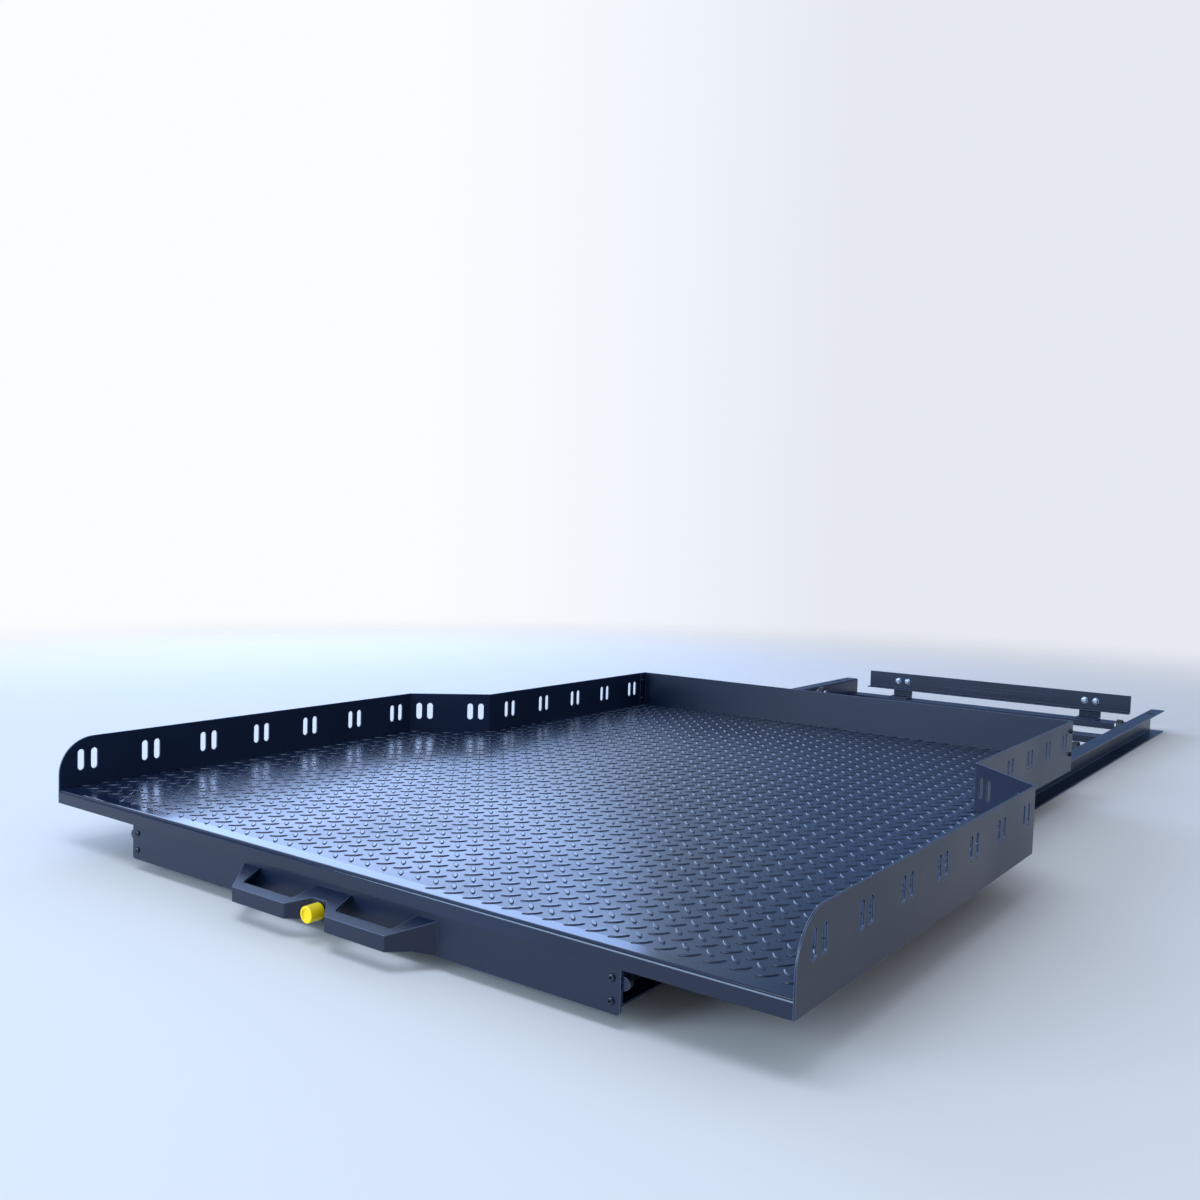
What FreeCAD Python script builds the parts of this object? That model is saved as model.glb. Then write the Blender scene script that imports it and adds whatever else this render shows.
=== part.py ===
import FreeCAD, Part
import math
import os

# A pull-out cargo tray for the bed of a pickup truck, drawn fully pulled out.
# X runs across the truck, +Y points to the cab, Z is up from the bed floor.
# The origin is on the floor, in the middle of the four floor bolts.

V = FreeCAD.Vector

# tray, seen from above; Y sizes are counted from its tail edge
TRAY_LENGTH = 1490.0
TRAY_WIDE = 1300.0
ARCH_STEP = 125.0
STEP_START = 779.0
STEP_END = 893.5
SHEET = 2.5
BEND_R = 3.0
DECK_TOP = 90.0
WALL_ABOVE_DECK = 80.6
LIP_DROP = 21.4
WALL_NOSE_R = 58.0
DECK_CORNER_R = 4.0
REAR_FLANGE = 25.0
REAR_WALL_LIFT = 2.5

# strap slots, in pairs
SLOT_WIDE = 11.5
SLOT_TALL = 34.0
SLOT_ABOVE_DECK = 43.3
SLOT_PAIR_STEP = 22.9
WIDE_PAIRS = 7
WIDE_FIRST = 48.2
WIDE_PITCH = 114.8
NARROW_PAIRS = 5
NARROW_FIRST = 64.6
NARROW_PITCH = 118.3
STEP_PAIR_SHARES = (0.184, 0.822)

# screws that join the rear wall to the side walls
SCREW_R = 2.5
SCREW_FIT = 0.1
WALL_SCREW_PAST_NUT = 1.0
WALL_SCREW_FROM_REAR = 15.5
WALL_SCREW_LOW = 14.5
WALL_SCREW_HIGH = 61.2
WALL_NUT_ACROSS = 8.0
WALL_NUT_THICK = 4.0

# button heads of the small screws
BUTTON_R = 4.5
BUTTON_HIGH = 2.6
BUTTON_ROUND = 1.8
BUTTON_SOCKET = 3.0
BUTTON_SOCKET_DEEP = 1.7

# fascia and handle; the handle's Y sizes are its reach toward the tail
FASCIA_OVERHANG = 0.8
FASCIA_BOTTOM = 16.8
FASCIA_THICK = 3.0
FASCIA_SETBACK = 3.0
FASCIA_TOP_GAP = 3.5
FASCIA_CORNER_R = 5.0
FASCIA_SCREW_IN = 11.0
FASCIA_SCREW_LOW = 5.0
FASCIA_SCREW_HIGH = 10.0
FASCIA_SCREW_LONG = 9.0
HANDLE_SHEET = 3.0
HANDLE_BACK_HALF = 182.0
HANDLE_FRONT_HALF = 143.0
NOTCH_FRONT_HALF = 38.0
NOTCH_BACK_HALF = 13.0
HANDLE_REACH = 46.0
NOTCH_REACH = 20.5
HANDLE_SLOPE = 0.28
HANDLE_TOP_BACK = 59.6
HANDLE_FRONT_BOTTOM = 27.0
NOTCH_BOTTOM = 25.5
HANDLE_BACK_BOTTOM = 17.6
HANDLE_CORNER_R = 2.0
GRIP_REACH = 32.0
GRIP_OUTER_BACK = 149.0
GRIP_OUTER_FRONT = 139.0
GRIP_INNER_FRONT = 40.0
GRIP_INNER_BACK = 31.5
GRIP_CORNER_R = 5.0

# how far the tray runs out of the base
ENGAGED = 334.5
PARK_GAP = 15.5
FRONT_ROOM = 30.5
RUN_GAP = 0.3

# fixed rails and floor bolts
RAIL_INSET = 75.0
RAIL_HEIGHT = 62.0
RAIL_FLANGE = 38.0
RAIL_SHEET = 3.0
RAIL_BEND_R = 5.0
FLOOR_BOLT_OUT = 20.0
FLOOR_BOLT_FROM_END = 102.5
FLOOR_HOLE_R = 4.5
DRIVER_HOLE_R = 11.0

# floor crossmembers, out-stops and keepers for the lock pin
CROSS_WIDE = 60.0
CROSS_HIGH = 18.0
CROSS_FROM_FRONT = 37.5
STOP_X = 120.0
STOP_WIDE = 30.0
STOP_THICK = 6.0
STOP_TOP = 50.0
STOP_TAB_LOW = 28.0
STOP_BACK_SHELF = 8.0
GUSSET_LONG = 28.0
GUSSET_DROP = 6.0
GUSSET_THICK = 5.0
KEEPER_WIDE = 50.0
KEEPER_THICK = 8.0
KEEPER_LONG = 56.0
KEEPER_RAMP = 14.0

# raised front bar on two feet
BAR_HALF = 400.0
BAR_FROM_FRONT = 12.5
BAR_BOTTOM = 43.0
BAR_TOP = 95.0
BAR_SHEET = 3.0
BAR_LEG = 22.0
FOOT_MID_X = 288.5
FOOT_WIDE = 60.0
FOOT_THICK = 5.0
FOOT_LEG = 45.0
FOOT_BEND_R = 6.0
FOOT_BELOW_BAR = 5.0
BAR_BOLT_STEP = 31.0
BAR_BOLT_Z = 70.0
BAR_BOLT_R = 5.0
BAR_BOLT_FIT = 0.3
DOME_R = 8.0
DOME_HIGH = 5.7
DOME_ROUND = 3.5
DOME_FLANGE_R = 9.5
DOME_FLANGE_THICK = 1.8
BAR_NUT_ACROSS = 16.0
BAR_NUT_THICK = 8.0

# moving rails, closed-stop buffers and cross-bearers
SIDE_GAP = 4.0
RUNNER_FLANGE = 30.0
RUNNER_BOTTOM = 26.0
RUNNER_HEIGHT = 40.5
RUNNER_FROM_REAR = 10.0
RUNNER_BEND_R = 4.0
EAR_INSET = 1.0
EAR_DROP = 38.0
EAR_R = 7.5
BUFFER_R = 7.0
BUFFER_ROUND = 1.5
BEARER_WIDE = 40.0
BEARER_1_FROM_TAIL = 60.0
BEARER_2_FROM_TAIL = 380.0
BEARER_3_FROM_TAIL = 740.0
BEARER_5_FROM_REAR = 50.0
BEARER_END_GAP = 10.0

# rollers, at these distances from the base frame's tail end
ROLLER_1_FROM_END = 35.0
ROLLER_2_FROM_END = 290.0
ROLLER_3_FROM_END = 745.0
ROLLER_4_FROM_END = 1200.0
ROLLER_WIDE = 14.0
ROLLER_ROUND = 1.2
ROLLER_DISH = 0.8
ROLLER_RIM = 3.5
ROLLER_HUB = 3.0
ROLLER_FROM_WEB = 11.0
AXLE_R = 5.0
AXLE_FIT = 0.05
AXLE_HOLE_FIT = 0.2
AXLE_HEAD_R = 8.0
AXLE_HEAD_HIGH = 4.5
AXLE_HEAD_ROUND = 1.5
AXLE_SOCKET = 5.0
AXLE_TAIL = 11.0
SPACER_R = 8.5
AXLE_NUT_ACROSS = 16.0
AXLE_NUT_THICK = 8.0

# pull knob, rod and spring
ROD_R = 4.0
ROD_Z = 39.5
ROD_HOLE_GAP = 1.0
ROD_FIT = 0.05
ROD_IN_KNOB = 19.0
KNOB_R = 11.0
KNOB_REACH = 43.0
KNOB_BACK_GAP = 0.5
KNOB_ROUND = 1.6
KNOB_DISH_R = 7.6
KNOB_DISH_TAPER = 1.0
KNOB_DISH_DEEP = 2.0
GUIDE_WIDE = 28.0
GUIDE_THICK = 4.0
GUIDE_BELOW_ROD = 9.0
SPRING_LONG = 46.0
SPRING_MEAN_R = 6.2
WIRE_R = 0.9
SPRING_TURNS = 8
COLLAR_R = 8.0
COLLAR_LONG = 6.0

# lock pin, cam plate and housing; LIFT is the pin's rise when the knob is pulled by PULL
PULL = 14.0
LIFT = 12.0
PIN_FROM_REAR = 297.0
PIN_R = 6.0
PIN_FIT = 0.05
PIN_TIP_GAP = 1.5
PIN_CHAMFER = 1.5
PIN_HEAD = 74.0
CROSS_PIN_R = 2.5
CROSS_PIN_LONG = 18.0
CAM_THICK = 4.0
CAM_LOW = 43.0
CAM_TOP = 70.0
CAM_ARM_LOW = 34.5
CAM_ARM_TOP = 48.0
CAM_BACK = 36.0
CAM_ARM_END = 12.0
CAM_SHOULDER = 8.0
CAM_FRONT = 28.0
CAM_SLOT_LOW = 50.0
HOUSING_HALF = 12.0
HOUSING_LONG = 36.0
HOUSING_FLOOR_GAP = 2.0
LOW_GUIDE_THICK = 5.0
HIGH_GUIDE_THICK = 3.0
BEARER_4_FROM_PIN = 133.0

# sums of the sizes above
TRAY_NARROW = TRAY_WIDE - 2 * ARCH_STEP
RAIL_WEB_X = TRAY_NARROW / 2 - RAIL_INSET
BASE_LENGTH = TRAY_LENGTH - PARK_GAP + FRONT_ROOM
BASE_REAR = -BASE_LENGTH / 2
BASE_FRONT = BASE_LENGTH / 2
TRAVEL = TRAY_LENGTH - ENGAGED - PARK_GAP
TAIL = BASE_REAR - PARK_GAP - TRAVEL
TRAY_REAR = TAIL + TRAY_LENGTH
WALL_BOTTOM = DECK_TOP - LIP_DROP
WALL_TOP = DECK_TOP + WALL_ABOVE_DECK
DECK_UNDER = DECK_TOP - SHEET
FOLD_BOTTOM = DECK_TOP + REAR_WALL_LIFT
RUNNER_X0 = RAIL_WEB_X - SIDE_GAP - RUNNER_FLANGE
RUNNER_X1 = RAIL_WEB_X - SIDE_GAP
RUNNER_TOP = RUNNER_BOTTOM + RUNNER_HEIGHT
ROLLER_STEPS = (ROLLER_1_FROM_END, ROLLER_2_FROM_END, ROLLER_3_FROM_END, ROLLER_4_FROM_END)
ROLLER_Z = RUNNER_BOTTOM + RUNNER_HEIGHT / 2
ROLLER_R = RUNNER_HEIGHT / 2 - SHEET - RUN_GAP
FASCIA_HALF = RUNNER_X1 + FASCIA_OVERHANG
FASCIA_FACE = TAIL + FASCIA_SETBACK
FASCIA_REAR = FASCIA_FACE + FASCIA_THICK
FASCIA_SCREW_X = RUNNER_X1 - FASCIA_SCREW_IN
FASCIA_SCREW_Z = (RUNNER_BOTTOM + FASCIA_SCREW_LOW, RUNNER_TOP - FASCIA_SCREW_HIGH)
END_PLATE_REAR = FASCIA_REAR + FASCIA_THICK
WALL_SCREW_Y = TRAY_REAR - WALL_SCREW_FROM_REAR
WALL_SCREW_Z = (DECK_TOP + WALL_SCREW_LOW, DECK_TOP + WALL_SCREW_HIGH)
PIN_Y = TRAY_REAR - PIN_FROM_REAR
KEEPER_TOP = CROSS_HIGH + KEEPER_THICK
BEARER_4_Y = PIN_Y - BEARER_4_FROM_PIN
BEARER_5_Y = TRAY_REAR - BEARER_5_FROM_REAR
STOP_FACE = BEARER_5_Y + BEARER_WIDE / 2 - RUN_GAP
STOP_MEMBER_Y = STOP_FACE - STOP_THICK - CROSS_WIDE / 2 + STOP_BACK_SHELF
BAR_FACE = BASE_FRONT - BAR_FROM_FRONT
SPRING_Y0 = BEARER_4_Y + BEARER_WIDE / 2 + GUIDE_THICK
SPRING_Y1 = SPRING_Y0 + SPRING_LONG
CAM_START = PIN_Y - CAM_BACK

# how far a cutter runs past the faces that it cuts
PAST = 1.0
# points closer than this are the same point
SAME_PLACE = 0.02

pieces = []


def keep(name, shape):
    """Add one solid under its name."""
    pieces.append((name, shape.Solids[0]))


def keep_group(name, shapes):
    """Add like fasteners under one name, each a solid of its own."""
    pieces.append((name, Part.makeCompound([shape.Solids[0] for shape in shapes])))


def box(x0, x1, y0, y1, z0, z1):
    return Part.makeBox(x1 - x0, y1 - y0, z1 - z0, V(x0, y0, z0))


def rod_x(x0, x1, y, z, r):
    return Part.makeCylinder(r, x1 - x0, V(x0, y, z), V(1, 0, 0))


def rod_y(y0, y1, x, z, r):
    return Part.makeCylinder(r, y1 - y0, V(x, y0, z), V(0, 1, 0))


def rod_z(z0, z1, x, y, r):
    return Part.makeCylinder(r, z1 - z0, V(x, y, z0), V(0, 0, 1))


def slab_xy(points, z0, z1):
    wire = Part.makePolygon([V(x, y, z0) for x, y in points + points[:1]])
    return Part.Face(wire).extrude(V(0, 0, z1 - z0))


def slab_yz(points, x0, x1):
    wire = Part.makePolygon([V(x0, y, z) for y, z in points + points[:1]])
    return Part.Face(wire).extrude(V(x1 - x0, 0, 0))


def slab_xz(points, y0, y1):
    wire = Part.makePolygon([V(x, y0, z) for x, z in points + points[:1]])
    return Part.Face(wire).extrude(V(0, y1 - y0, 0))


def hexagon(centre_a, centre_b, across):
    """Corners of a hexagon by its width across flats."""
    r = across / math.sqrt(3)
    turns = [k * math.pi / 3 for k in range(6)]
    return [(centre_a + r * math.cos(t), centre_b + r * math.sin(t)) for t in turns]


def other_side(shape):
    return shape.mirror(V(0, 0, 0), V(1, 0, 0))


def both_sides(shape):
    return [shape, other_side(shape)]


def keep_pair(name, shape):
    """Add a piece on the right and its mirror image on the left."""
    keep(name % "right", shape)
    keep(name % "left", other_side(shape))


def near(a, b):
    return abs(a - b) < SAME_PLACE


def ends(edge):
    return edge.Vertexes[0].Point, edge.Vertexes[-1].Point


def upright_edge(x, y):
    def test(edge):
        a, b = ends(edge)
        return near(a.x, x) and near(b.x, x) and near(a.y, y) and near(b.y, y)
    return test


def cross_edge(y, z):
    def test(edge):
        a, b = ends(edge)
        return near(a.y, y) and near(b.y, y) and near(a.z, z) and near(b.z, z)
    return test


def long_edge(x, z):
    def test(edge):
        a, b = ends(edge)
        return near(a.x, x) and near(b.x, x) and near(a.z, z) and near(b.z, z)
    return test


def rounded(shape, radius, wanted):
    return shape.makeFillet(radius, [edge for edge in shape.Edges if wanted(edge)])


def channel_down(y_mid, wide, low, high, sheet):
    """Section of a folded channel, open at the bottom."""
    y0 = y_mid - wide / 2
    y1 = y_mid + wide / 2
    outside = [(y0, low), (y0, high), (y1, high), (y1, low)]
    inside = [(y1 - sheet, low), (y1 - sheet, high - sheet), (y0 + sheet, high - sheet), (y0 + sheet, low)]
    return outside + inside


def channel_out(x0, x1, low, high, sheet):
    """Section of a folded channel lying on its side, open toward +X."""
    outside = [(x1, low + sheet), (x1, low), (x0, low), (x0, high), (x1, high), (x1, high - sheet)]
    inside = [(x0 + sheet, high - sheet), (x0 + sheet, low + sheet)]
    return outside + inside


def folded_channel(x_pair, z_pair, sheet, outer_r, y_pair):
    """A length of that channel with its two bends rounded."""
    x0, x1 = x_pair
    low, high = z_pair
    bar = slab_xz(channel_out(x0, x1, low, high, sheet), *y_pair)
    for z in (low, high):
        bar = rounded(bar, outer_r, long_edge(x0, z))
    for z in (low + sheet, high - sheet):
        bar = rounded(bar, outer_r - sheet, long_edge(x0 + sheet, z))
    return bar


def wall_line(inset):
    """Where the right wall's face runs, moved inward: two X values and the step's two Y values."""
    across = (TRAY_WIDE - TRAY_NARROW) / 2
    along = STEP_END - STEP_START
    slant = math.hypot(across, along)
    shift = inset * (slant - across) / along
    return TRAY_WIDE / 2 - inset, TRAY_NARROW / 2 - inset, TAIL + STEP_START - shift, TAIL + STEP_END - shift


def strap_slot(x, y, turn):
    """A cutter with round ends, through the wall's thickness."""
    half = SLOT_WIDE / 2
    deep = SLOT_TALL
    straight = SLOT_TALL / 2 - half
    bar = box(-deep, deep, -half, half, -straight, straight)
    caps = [rod_x(-deep, deep, 0, z, half) for z in (-straight, straight)]
    cutter = bar.fuse(caps).removeSplitter()
    cutter.rotate(V(0, 0, 0), V(0, 0, 1), turn)
    cutter.translate(V(x, y, DECK_TOP + SLOT_ABOVE_DECK))
    return cutter


def slot_pair(x, y, step_x, step_y, turn):
    return [strap_slot(x + side * step_x / 2, y + side * step_y / 2, turn) for side in (-1, 1)]


def wall_screw_holes(x):
    r = SCREW_R + SCREW_FIT
    return [rod_x(x - SHEET - PAST, x + SHEET + PAST, WALL_SCREW_Y, z, r) for z in WALL_SCREW_Z]


def side_wall():
    """One folded sheet: wide run, slanted step, narrow run."""
    wide, narrow, y_a, y_b = wall_line(0.0)
    in_wide, in_narrow, in_a, in_b = wall_line(SHEET)
    outside = [(wide, TAIL), (wide, y_a), (narrow, y_b), (narrow, TRAY_REAR)]
    inside = [(in_narrow, TRAY_REAR), (in_narrow, in_b), (in_wide, in_a), (in_wide, TAIL)]
    wall = slab_xy(outside + inside, WALL_BOTTOM, WALL_TOP)
    wall = rounded(wall, BEND_R + SHEET, upright_edge(wide, y_a))
    wall = rounded(wall, BEND_R, upright_edge(in_wide, in_a))
    wall = rounded(wall, BEND_R, upright_edge(narrow, y_b))
    wall = rounded(wall, BEND_R + SHEET, upright_edge(in_narrow, in_b))
    # the large round at the tail's upper corner
    nose_y = TAIL + WALL_NOSE_R
    nose_z = WALL_TOP - WALL_NOSE_R
    nose = box(in_wide - PAST, wide + PAST, TAIL - PAST, nose_y, nose_z, WALL_TOP + PAST)
    cutters = [nose.cut(rod_x(in_wide - 2 * PAST, wide + 2 * PAST, nose_y, nose_z, WALL_NOSE_R))]
    for i in range(WIDE_PAIRS):
        cutters += slot_pair(wide, TAIL + WIDE_FIRST + WIDE_PITCH * i, 0.0, SLOT_PAIR_STEP, 0)
    for i in range(NARROW_PAIRS):
        pair_y = TAIL + STEP_END + NARROW_FIRST + NARROW_PITCH * i
        cutters += slot_pair(narrow, pair_y, 0.0, SLOT_PAIR_STEP, 0)
    run_x = narrow - wide
    run_y = y_b - y_a
    run = math.hypot(run_x, run_y)
    turn = math.degrees(math.atan2(-run_x, run_y))
    for share in STEP_PAIR_SHARES:
        step_x = SLOT_PAIR_STEP * run_x / run
        step_y = SLOT_PAIR_STEP * run_y / run
        cutters += slot_pair(wide + run_x * share, y_a + run_y * share, step_x, step_y, turn)
    return wall.cut(cutters + wall_screw_holes(in_narrow))


def mirrored_outline(right):
    return right + [(-x, y) for x, y in reversed(right)]


def deck_plate():
    """The tread floor sheet with its lip folded down at the tail; its raised pattern is left out here."""
    wide, narrow, y_a, y_b = wall_line(SHEET)
    right = [(wide, TAIL), (wide, y_a), (narrow, y_b), (narrow, TRAY_REAR - SHEET)]
    deck = slab_xy(mirrored_outline(right), DECK_UNDER, DECK_TOP)
    for side in (-1, 1):
        deck = rounded(deck, DECK_CORNER_R, upright_edge(side * wide, y_a))
    lip = box(-wide, wide, TAIL, TAIL + SHEET, WALL_BOTTOM, DECK_TOP)
    deck = deck.fuse(lip).removeSplitter()
    deck = rounded(deck, BEND_R + SHEET, cross_edge(TAIL, DECK_TOP))
    return rounded(deck, BEND_R, cross_edge(TAIL + SHEET, DECK_UNDER))


def rear_wall():
    """A sheet with two forward folds, held clear of the deck's tread, and a skirt between them below."""
    half = wall_line(SHEET)[1]
    flange_y = TRAY_REAR - REAR_FLANGE
    inner_y = TRAY_REAR - SHEET
    outside = [(-half, flange_y), (-half, TRAY_REAR), (half, TRAY_REAR), (half, flange_y)]
    right = [(half - SHEET, flange_y), (half - SHEET, inner_y)]
    left = [(-x, y) for x, y in reversed(right)]
    wall = slab_xy(outside + right + left, FOLD_BOTTOM, WALL_TOP)
    for side in (-1, 1):
        wall = rounded(wall, BEND_R, upright_edge(side * (half - SHEET), inner_y))
    skirt = box(-half, half, inner_y, TRAY_REAR, WALL_BOTTOM, FOLD_BOTTOM)
    wall = wall.fuse(skirt).removeSplitter()
    holes = wall_screw_holes(half)
    return wall.cut(holes + [other_side(hole) for hole in holes])


def button_screw(shank_r, long):
    """A socket button head in front of the origin, its shank along +Y."""
    head = rod_y(-BUTTON_HIGH, 0, 0, 0, BUTTON_R)
    head = rounded(head, BUTTON_ROUND, lambda edge: near(edge.BoundBox.YMax, -BUTTON_HIGH))
    socket = slab_xz(hexagon(0, 0, BUTTON_SOCKET), -BUTTON_HIGH - PAST, BUTTON_SOCKET_DEEP - BUTTON_HIGH)
    shank = rod_y(-BUTTON_HIGH / 4, long, 0, 0, shank_r)
    return head.cut(socket).fuse(shank).removeSplitter()


def wall_fasteners():
    """Screws from inside the tray, nuts outside the narrow walls."""
    out_face = TRAY_NARROW / 2
    in_face = out_face - 2 * SHEET
    screws = []
    nuts = []
    for z in WALL_SCREW_Z:
        screw = button_screw(SCREW_R, 2 * SHEET + WALL_NUT_THICK + WALL_SCREW_PAST_NUT)
        screw.rotate(V(0, 0, 0), V(0, 0, 1), -90)
        screw.translate(V(in_face, WALL_SCREW_Y, z))
        screws += both_sides(screw)
        nut = slab_yz(hexagon(WALL_SCREW_Y, z, WALL_NUT_ACROSS), out_face, out_face + WALL_NUT_THICK)
        nut = nut.cut(rod_x(out_face - PAST, out_face + WALL_NUT_THICK + PAST, WALL_SCREW_Y, z, SCREW_R))
        nuts += both_sides(nut)
    return screws, nuts


def fascia_screw_holes(y0, y1):
    r = SCREW_R + SCREW_FIT
    return [rod_y(y0, y1, FASCIA_SCREW_X, z, r) for z in FASCIA_SCREW_Z]


def fascia_plate():
    top = DECK_UNDER - FASCIA_TOP_GAP
    plate = box(-FASCIA_HALF, FASCIA_HALF, FASCIA_FACE, FASCIA_REAR, FASCIA_BOTTOM, top)
    for side in (-1, 1):
        plate = rounded(plate, FASCIA_CORNER_R, long_edge(side * FASCIA_HALF, FASCIA_BOTTOM))
    holes = fascia_screw_holes(FASCIA_FACE - PAST, FASCIA_REAR + PAST)
    rod_hole = rod_y(FASCIA_FACE - PAST, FASCIA_REAR + PAST, 0, ROD_Z, ROD_R + ROD_HOLE_GAP)
    return plate.cut(holes + [other_side(hole) for hole in holes] + [rod_hole])


def fascia_screws():
    screws = []
    for z in FASCIA_SCREW_Z:
        screw = button_screw(SCREW_R, FASCIA_SCREW_LONG)
        screw.translate(V(FASCIA_SCREW_X, FASCIA_FACE, z))
        screws += both_sides(screw)
    return screws


def handle_top(y):
    return HANDLE_TOP_BACK + HANDLE_SLOPE * (y - TAIL)


def handle_half(inset):
    """Half of the handle's outline in plan, moved inward: fascia, front corner, two notch corners."""
    front = TAIL - HANDLE_REACH + inset
    notch = TAIL - NOTCH_REACH + inset
    side_lean = (HANDLE_BACK_HALF - HANDLE_FRONT_HALF) / (HANDLE_REACH + FASCIA_SETBACK)
    notch_lean = (NOTCH_FRONT_HALF - NOTCH_BACK_HALF) / (HANDLE_REACH - NOTCH_REACH)
    side_shift = inset * math.hypot(1.0, side_lean)
    notch_shift = inset * math.hypot(1.0, notch_lean) - inset * notch_lean
    fascia = (HANDLE_BACK_HALF - side_shift, FASCIA_FACE)
    corner = (HANDLE_FRONT_HALF - side_shift + inset * side_lean, front)
    notch_front = (NOTCH_FRONT_HALF + notch_shift, front)
    notch_back = (NOTCH_BACK_HALF + notch_shift, notch)
    return [fascia, corner, notch_front, notch_back]


def handle_plan(inset):
    return mirrored_outline(handle_half(inset))


def handle():
    """Sloping top plate with two grip openings, and a skirt all round down to a tapering lower edge."""
    back = FASCIA_FACE
    front = TAIL - HANDLE_REACH
    notch = TAIL - NOTCH_REACH
    x = HANDLE_BACK_HALF + PAST
    top_z = handle_top(back)
    outer = slab_xy(handle_plan(0.0), 0.0, top_z + PAST)
    inner = slab_xy(handle_plan(HANDLE_SHEET), -PAST, top_z + 2 * PAST)
    side_view = [(back, HANDLE_BACK_BOTTOM), (back, top_z), (front, handle_top(front))]
    side_view = side_view + [(front, HANDLE_FRONT_BOTTOM), (notch, NOTCH_BOTTOM)]
    skirt = outer.cut(inner).common(slab_yz(side_view, -x, x))
    plate_view = [(back, top_z - HANDLE_SHEET), (back, top_z), (front, handle_top(front))]
    plate_view = plate_view + [(front, handle_top(front) - HANDLE_SHEET)]
    plate = slab_yz(plate_view, -x, x).common(outer)
    grip_y = TAIL - GRIP_REACH
    grip = [(GRIP_OUTER_BACK, back), (GRIP_OUTER_FRONT, grip_y)]
    grip = grip + [(GRIP_INNER_FRONT, grip_y), (GRIP_INNER_BACK, back)]
    opening = slab_xy(grip, 0.0, top_z + PAST)
    for corner_x in (GRIP_OUTER_FRONT, GRIP_INNER_FRONT):
        opening = rounded(opening, GRIP_CORNER_R, upright_edge(corner_x, grip_y))
    body = plate.cut(both_sides(opening)).fuse(skirt).removeSplitter()
    body = body.cut(rod_y(notch - PAST, back + PAST, 0, ROD_Z, ROD_R + ROD_HOLE_GAP))
    corners = handle_half(0.0)[1:]
    for corner_x, corner_y in corners + [(-a, b) for a, b in corners]:
        body = rounded(body, HANDLE_CORNER_R, upright_edge(corner_x, corner_y))
    return body


def runner():
    """Moving rail with a welded end plate, whose round ear holds the closed-stop buffer."""
    run = (END_PLATE_REAR, TRAY_REAR - RUNNER_FROM_REAR)
    rail = folded_channel((RUNNER_X0, RUNNER_X1), (RUNNER_BOTTOM, RUNNER_TOP), SHEET, RUNNER_BEND_R, run)
    plate = box(RUNNER_X0, RUNNER_X1, FASCIA_REAR, END_PLATE_REAR, RUNNER_BOTTOM, RUNNER_TOP)
    ear = rod_y(FASCIA_REAR, END_PLATE_REAR, RAIL_WEB_X - EAR_INSET, DECK_TOP - EAR_DROP, EAR_R)
    plate = plate.fuse(ear).cut(fascia_screw_holes(FASCIA_REAR - PAST, END_PLATE_REAR + PAST))
    return rail.fuse(plate).removeSplitter()


def stop_buffer():
    """Rubber button that meets the end of the fixed rail when the tray is in."""
    y1 = TAIL + PARK_GAP - RUN_GAP
    button = rod_y(END_PLATE_REAR, y1, RAIL_WEB_X - EAR_INSET, DECK_TOP - EAR_DROP, BUFFER_R)
    return rounded(button, BUFFER_ROUND, lambda edge: near(edge.BoundBox.YMin, y1))


def cross_bearer(y_mid, guide=False, stops=False):
    """Channel across the tray's underside; some carry the rod's guide or the out-stop tabs."""
    wide = TRAY_WIDE if y_mid < TAIL + STEP_START else TRAY_NARROW
    half = wide / 2 - BEARER_END_GAP
    bearer = slab_yz(channel_down(y_mid, BEARER_WIDE, RUNNER_TOP, DECK_UNDER, SHEET), -half, half)
    face = y_mid + BEARER_WIDE / 2
    if guide:
        low = ROD_Z - GUIDE_BELOW_ROD
        plate = box(-GUIDE_WIDE / 2, GUIDE_WIDE / 2, face, face + GUIDE_THICK, low, DECK_UNDER)
        plate = plate.cut(rod_y(face - PAST, face + GUIDE_THICK + PAST, 0, ROD_Z, ROD_R + ROD_FIT))
        bearer = bearer.fuse(plate).removeSplitter()
    if stops:
        x0 = STOP_X - STOP_WIDE / 2
        tab = box(x0, x0 + STOP_WIDE, face, face + STOP_THICK, STOP_TAB_LOW, DECK_UNDER)
        bearer = bearer.fuse(both_sides(tab)).removeSplitter()
    return bearer


def pull_knob():
    """Yellow knob with a dished face, pressed on the rod's end."""
    y0 = TAIL - KNOB_REACH
    y1 = TAIL - NOTCH_REACH - KNOB_BACK_GAP
    knob = rod_y(y0, y1, 0, ROD_Z, KNOB_R)
    knob = rounded(knob, KNOB_ROUND, lambda edge: edge.BoundBox.YLength < SAME_PLACE)
    dish_end = KNOB_DISH_R - KNOB_DISH_TAPER
    dish = Part.makeCone(KNOB_DISH_R, dish_end, KNOB_DISH_DEEP, V(0, y0, ROD_Z), V(0, 1, 0))
    return knob.cut([dish, rod_y(y1 - ROD_IN_KNOB, y1 + PAST, 0, ROD_Z, ROD_R)])


def pull_rod():
    return rod_y(TAIL - NOTCH_REACH - KNOB_BACK_GAP - ROD_IN_KNOB, CAM_START, 0, ROD_Z, ROD_R)


def rod_collar():
    ring = rod_y(SPRING_Y1, SPRING_Y1 + COLLAR_LONG, 0, ROD_Z, COLLAR_R)
    return ring.cut(rod_y(SPRING_Y1 - PAST, SPRING_Y1 + COLLAR_LONG + PAST, 0, ROD_Z, ROD_R))


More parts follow.
